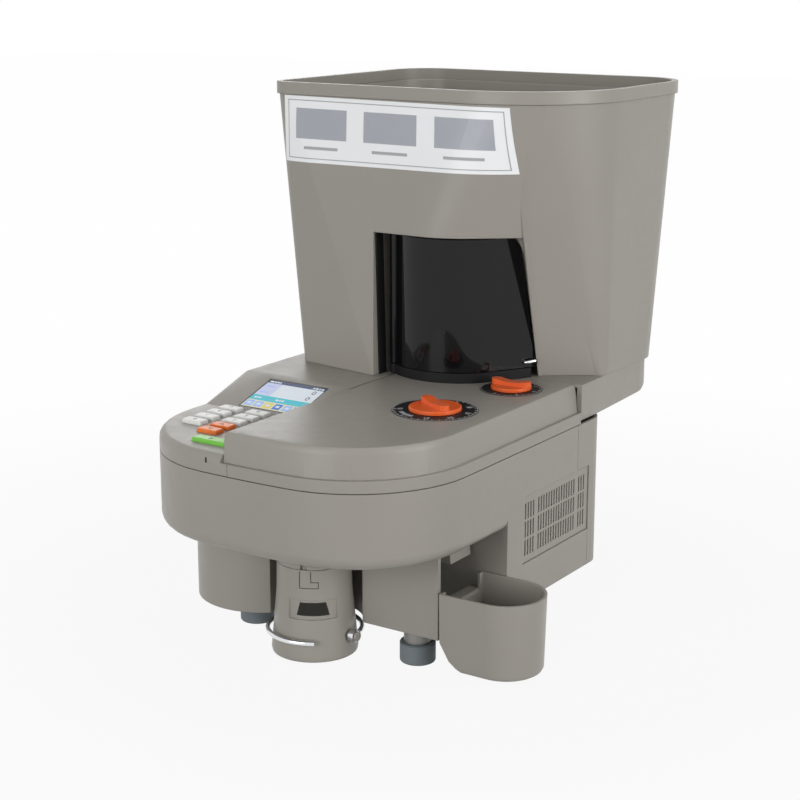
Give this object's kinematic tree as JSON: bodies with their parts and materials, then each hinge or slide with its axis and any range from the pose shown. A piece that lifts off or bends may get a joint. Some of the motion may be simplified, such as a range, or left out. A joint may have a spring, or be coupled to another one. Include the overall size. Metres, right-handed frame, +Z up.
{
  "type": "coin_counter",
  "caption": "Countertop coin counter with a large moulded hopper, smoked curved door, two dials, keypad and display, a bag spout under the nose and a reject cup at the side.",
  "frame": {"origin": "Middle of the underside of the part's box, on the surface it stands on.", "axes": "X to the user's right, Y from the nose to the back, Z up; metres."},
  "size_m": [0.354, 0.4894, 0.474],
  "materials": {
    "casing_plastic": "fine-grained moulded plastic",
    "dark_plastic": "satin black plastic",
    "display_glass": "glossy display window",
    "board": "lacquered circuit board",
    "green_plastic": "satin key cap",
    "orange_plastic": "satin moulded plastic",
    "pale_plastic": "satin key cap",
    "smoked_plastic": "smoked clear plastic",
    "sheet_steel": "zinc-plated sheet",
    "bright_steel": "bright drawn steel",
    "disc_metal": "black enamel",
    "foot_rubber": "matte moulded rubber",
    "belt_rubber": "matte rubber"
  },
  "bodies": {
    "machine": {"chassis": "sheet_steel", "legs": "bright_steel", "feet": "foot_rubber", "lower_casing": "casing_plastic", "rear_cover": "casing_plastic", "vent_grilles": "casing_plastic", "head_cover": "casing_plastic", "control_panel": "casing_plastic", "display_module": "display_glass", "key_board": "board", "hopper_shell": "casing_plastic", "hopper_rim": "casing_plastic", "hopper_funnel": "casing_plastic", "deck_plate": "sheet_steel", "bowl_ring": "sheet_steel", "disc_bearing": "sheet_steel", "drive_belt": "belt_rubber", "motor": "disc_metal", "coin_rail": "sheet_steel", "head_bracket": "sheet_steel", "transport_belt": "belt_rubber", "coin_sensor": "dark_plastic", "drop_chute": "sheet_steel", "reject_chute": "sheet_steel", "dial_plates": "dark_plastic", "door_pin": "bright_steel", "door_sill": "dark_plastic", "spout_collar": "casing_plastic", "power_supply": "sheet_steel", "power_inlet": "dark_plastic", "case_screws": "bright_steel"},
    "door": {"smoked_door": "smoked_plastic"},
    "diameter_dial": {"diameter_knob": "orange_plastic"},
    "gauge": {"gauge_rail": "dark_plastic"},
    "thickness_dial": {"thickness_knob": "orange_plastic"},
    "disc": {"feed_disc": "disc_metal", "disc_shaft": "bright_steel", "disc_pulley": "sheet_steel"},
    "motor_wheel": {"motor_pulley": "sheet_steel"},
    "roller_rear": {"rear_roller": "belt_rubber"},
    "roller_front": {"front_roller": "belt_rubber"},
    "spout": {"bag_spout": "casing_plastic"},
    "clip": {"bag_clip": "bright_steel"},
    "cup": {"reject_cup": "casing_plastic"},
    "rocker": {"power_switch": "dark_plastic"},
    "key_green_body": {"key_green": "green_plastic"},
    "key_orange_1_body": {"key_orange_1": "orange_plastic"},
    "key_orange_2_body": {"key_orange_2": "orange_plastic"},
    "key_orange_3_body": {"key_orange_3": "orange_plastic"},
    "key_orange_4_body": {"key_orange_4": "orange_plastic"},
    "key_grey_1_body": {"key_grey_1": "pale_plastic"},
    "key_grey_2_body": {"key_grey_2": "pale_plastic"},
    "key_grey_3_body": {"key_grey_3": "pale_plastic"},
    "key_grey_4_body": {"key_grey_4": "pale_plastic"},
    "key_grey_5_body": {"key_grey_5": "pale_plastic"},
    "key_grey_6_body": {"key_grey_6": "pale_plastic"},
    "key_grey_7_body": {"key_grey_7": "pale_plastic"},
    "key_grey_8_body": {"key_grey_8": "pale_plastic"},
    "key_grey_9_body": {"key_grey_9": "pale_plastic"},
    "key_grey_10_body": {"key_grey_10": "pale_plastic"}
  },
  "joints": [
    {"name": "door_hinge", "type": "hinge", "parent": "machine", "child": "door", "pos_m": [-0.0445, 0.0097, 0.28], "axis": [0, 0, -1], "range_deg": [0, 65]},
    {"name": "diameter_turn", "type": "hinge", "parent": "machine", "child": "diameter_dial", "pos_m": [0.0605, -0.08675, 0.214], "axis": [0, 0, 1], "range_deg": [-120, 120]},
    {"name": "gauge_slide", "type": "slide", "parent": "machine", "child": "gauge", "axis": [1, 0, 0], "range_m": [-0.00628, 0.00628]},
    {"name": "thickness_turn", "type": "hinge", "parent": "machine", "child": "thickness_dial", "pos_m": [0.0765, 0.01325, 0.214], "axis": [0, 0, 1], "range_deg": [-100, 100]},
    {"name": "disc_spin", "type": "hinge", "parent": "machine", "child": "disc", "pos_m": [-0.0165, 0.07325, 0.19], "axis": [0, 0, 1], "continuous": true},
    {"name": "motor_spin", "type": "hinge", "parent": "machine", "child": "motor_wheel", "pos_m": [-0.0775, 0.00525, 0.164], "axis": [0, 0, 1], "continuous": true},
    {"name": "rear_roller_spin", "type": "hinge", "parent": "machine", "child": "roller_rear", "pos_m": [0.0245, 0.00025, 0.204], "axis": [1, 0, 0], "continuous": true},
    {"name": "front_roller_spin", "type": "hinge", "parent": "machine", "child": "roller_front", "pos_m": [0.0245, -0.11475, 0.204], "axis": [1, 0, 0], "continuous": true},
    {"name": "spout_twist", "type": "hinge", "parent": "machine", "child": "spout", "pos_m": [-0.0195, -0.15275, 0.06], "axis": [0, 0, -1], "range_deg": [0, 22]},
    {"name": "clip_hinge", "type": "hinge", "parent": "spout", "child": "clip", "pos_m": [0.0212, -0.15275, 0.024], "axis": [-1, 0, 0], "range_deg": [0, 10]},
    {"name": "cup_lift", "type": "slide", "parent": "machine", "child": "cup", "axis": [0, 0, 1], "range_m": [0, 0.025]},
    {"name": "rocker_tilt", "type": "hinge", "parent": "machine", "child": "rocker", "pos_m": [0.0725, 0.10525, 0.084], "axis": [1, 0, 0], "range_deg": [0, 14]},
    {"name": "key_green_press", "type": "slide", "parent": "machine", "child": "key_green_body", "axis": [0, 0, -1], "range_m": [0, 0.0012], "stiffness_N_per_m": 400, "springref_m": -0.0004},
    {"name": "key_orange_1_press", "type": "slide", "parent": "machine", "child": "key_orange_1_body", "axis": [0, 0, -1], "range_m": [0, 0.0012], "stiffness_N_per_m": 400, "springref_m": -0.0004},
    {"name": "key_orange_2_press", "type": "slide", "parent": "machine", "child": "key_orange_2_body", "axis": [0, 0, -1], "range_m": [0, 0.0012], "stiffness_N_per_m": 400, "springref_m": -0.0004},
    {"name": "key_orange_3_press", "type": "slide", "parent": "machine", "child": "key_orange_3_body", "axis": [0, 0, -1], "range_m": [0, 0.0012], "stiffness_N_per_m": 400, "springref_m": -0.0004},
    {"name": "key_orange_4_press", "type": "slide", "parent": "machine", "child": "key_orange_4_body", "axis": [0, 0, -1], "range_m": [0, 0.0012], "stiffness_N_per_m": 400, "springref_m": -0.0004},
    {"name": "key_grey_1_press", "type": "slide", "parent": "machine", "child": "key_grey_1_body", "axis": [0, 0, -1], "range_m": [0, 0.0012], "stiffness_N_per_m": 400, "springref_m": -0.0004},
    {"name": "key_grey_2_press", "type": "slide", "parent": "machine", "child": "key_grey_2_body", "axis": [0, 0, -1], "range_m": [0, 0.0012], "stiffness_N_per_m": 400, "springref_m": -0.0004},
    {"name": "key_grey_3_press", "type": "slide", "parent": "machine", "child": "key_grey_3_body", "axis": [0, 0, -1], "range_m": [0, 0.0012], "stiffness_N_per_m": 400, "springref_m": -0.0004},
    {"name": "key_grey_4_press", "type": "slide", "parent": "machine", "child": "key_grey_4_body", "axis": [0, 0, -1], "range_m": [0, 0.0012], "stiffness_N_per_m": 400, "springref_m": -0.0004},
    {"name": "key_grey_5_press", "type": "slide", "parent": "machine", "child": "key_grey_5_body", "axis": [0, 0, -1], "range_m": [0, 0.0012], "stiffness_N_per_m": 400, "springref_m": -0.0004},
    {"name": "key_grey_6_press", "type": "slide", "parent": "machine", "child": "key_grey_6_body", "axis": [0, 0, -1], "range_m": [0, 0.0012], "stiffness_N_per_m": 400, "springref_m": -0.0004},
    {"name": "key_grey_7_press", "type": "slide", "parent": "machine", "child": "key_grey_7_body", "axis": [0, 0, -1], "range_m": [0, 0.0012], "stiffness_N_per_m": 400, "springref_m": -0.0004},
    {"name": "key_grey_8_press", "type": "slide", "parent": "machine", "child": "key_grey_8_body", "axis": [0, 0, -1], "range_m": [0, 0.0012], "stiffness_N_per_m": 400, "springref_m": -0.0004},
    {"name": "key_grey_9_press", "type": "slide", "parent": "machine", "child": "key_grey_9_body", "axis": [0, 0, -1], "range_m": [0, 0.0012], "stiffness_N_per_m": 400, "springref_m": -0.0004},
    {"name": "key_grey_10_press", "type": "slide", "parent": "machine", "child": "key_grey_10_body", "axis": [0, 0, -1], "range_m": [0, 0.0012], "stiffness_N_per_m": 400, "springref_m": -0.0004}
  ],
  "couplings": [
    {"joint": "gauge_slide", "follows": "diameter_turn", "m_per_rad": 0.003},
    {"joint": "motor_spin", "follows": "disc_spin", "ratio": 1.7143},
    {"joint": "rear_roller_spin", "follows": "disc_spin", "ratio": 10},
    {"joint": "front_roller_spin", "follows": "disc_spin", "ratio": 10}
  ]
}
